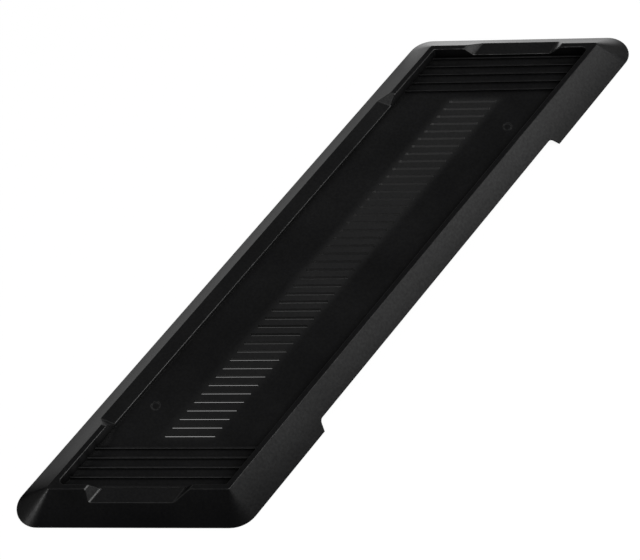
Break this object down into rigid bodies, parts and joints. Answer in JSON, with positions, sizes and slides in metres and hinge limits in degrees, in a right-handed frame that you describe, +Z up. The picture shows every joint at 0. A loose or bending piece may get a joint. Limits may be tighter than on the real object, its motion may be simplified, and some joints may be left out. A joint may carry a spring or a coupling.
{
  "type": "console vertical stand",
  "caption": "Low moulded stand with a slanted tray that holds a game console upright on its side, with vent slots, ribs and rubber feet.",
  "frame": {"origin": "on the table under the middle of the stand", "axes": "+X across the stand towards the side with the air gap, +Y along the long sides, +Z up"},
  "size_m": [0.087, 0.3466, 0.0128],
  "materials": {
    "moulded_plastic": "black, finely textured satin moulding",
    "foot_rubber": "matt black rubber"
  },
  "bodies": {
    "root": {"stand_body": "moulded_plastic", "foot_near_left": "foot_rubber", "foot_near_right": "foot_rubber", "foot_far_left": "foot_rubber", "foot_far_right": "foot_rubber"}
  },
  "joints": []
}
